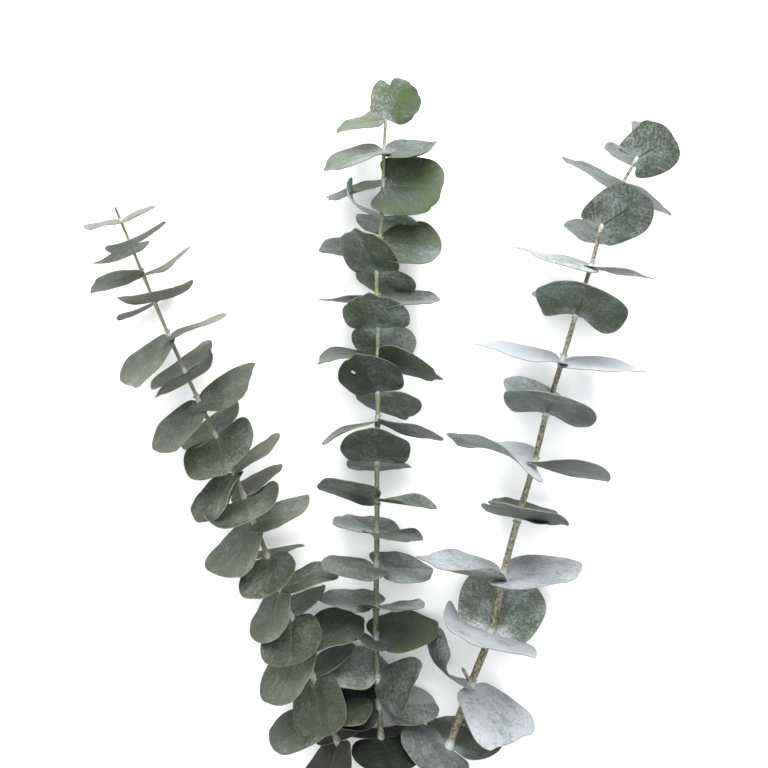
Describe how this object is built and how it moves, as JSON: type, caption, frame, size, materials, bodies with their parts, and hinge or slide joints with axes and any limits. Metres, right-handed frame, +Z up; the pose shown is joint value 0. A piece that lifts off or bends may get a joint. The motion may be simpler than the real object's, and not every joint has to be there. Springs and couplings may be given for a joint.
{
  "type": "eucalyptus branch",
  "caption": "Cut branch of round-leaved eucalyptus: leafy stems with opposite pairs of clasping, waxy leaves, laid in a fan with the bare cut ends crossing.",
  "frame": {"origin": "centre of the bounding box, on the surface that the branch lies on", "axes": "+Y along the stems towards their tips, +X to the right of the fan seen from above, +Z up from the surface"},
  "size_m": [0.3554, 0.5557, 0.0801],
  "materials": {
    "olive_leaf": "waxy, olive grey-green",
    "green_leaf": "waxy, grey-green",
    "blue_grey_leaf": "waxy, blue-grey with a white bloom"
  },
  "bodies": {
    "root": {"left_branch": "olive_leaf", "middle_branch": "green_leaf", "right_branch": "blue_grey_leaf"}
  },
  "joints": []
}
